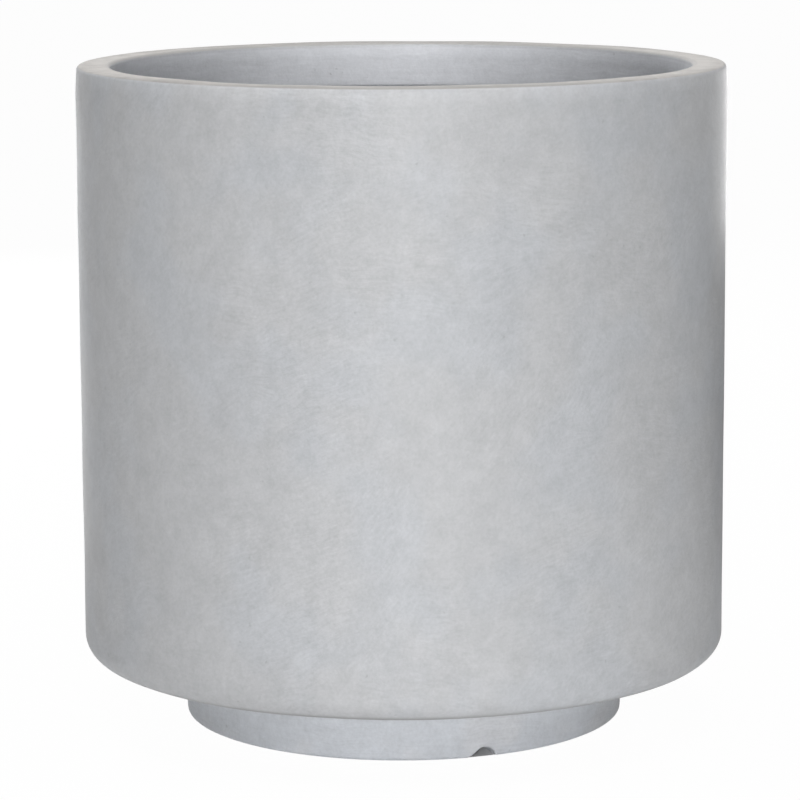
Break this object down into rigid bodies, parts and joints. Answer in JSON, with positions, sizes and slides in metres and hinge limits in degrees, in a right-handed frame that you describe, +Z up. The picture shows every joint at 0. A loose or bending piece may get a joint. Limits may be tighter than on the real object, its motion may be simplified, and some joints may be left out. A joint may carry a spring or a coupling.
{
  "type": "concrete planter",
  "caption": "Straight round concrete planter with a thick lip, bonded to a foot drawn in under the drum, with a floor drain, a lift-out rubber plug and a drain notch.",
  "frame": {"origin": "on the ground, at the drum's axis", "axes": "+Z up along the drum's axis, -Y towards the drain notch in the foot"},
  "size_m": [0.3999, 0.4, 0.406],
  "materials": {
    "drum_concrete": "matte",
    "foot_concrete": "matte",
    "mortar": "matte",
    "sleeve_plastic": "satin",
    "plug_rubber": "matte",
    "steel_wire": "satin"
  },
  "bodies": {
    "planter": {"drum_shell": "drum_concrete", "foot_ring": "foot_concrete", "mortar_bed": "mortar", "drain_sleeve": "sleeve_plastic", "rim_hoop": "steel_wire", "wall_hoops": "steel_wire", "floor_hoops": "steel_wire", "corner_bars": "steel_wire", "foot_hoop": "steel_wire"},
    "plug": {"drain_plug": "plug_rubber"}
  },
  "joints": [
    {"name": "plug_lift", "type": "slide", "parent": "planter", "child": "plug", "axis": [0, 0, 1], "range_m": [0, 0.4]}
  ]
}
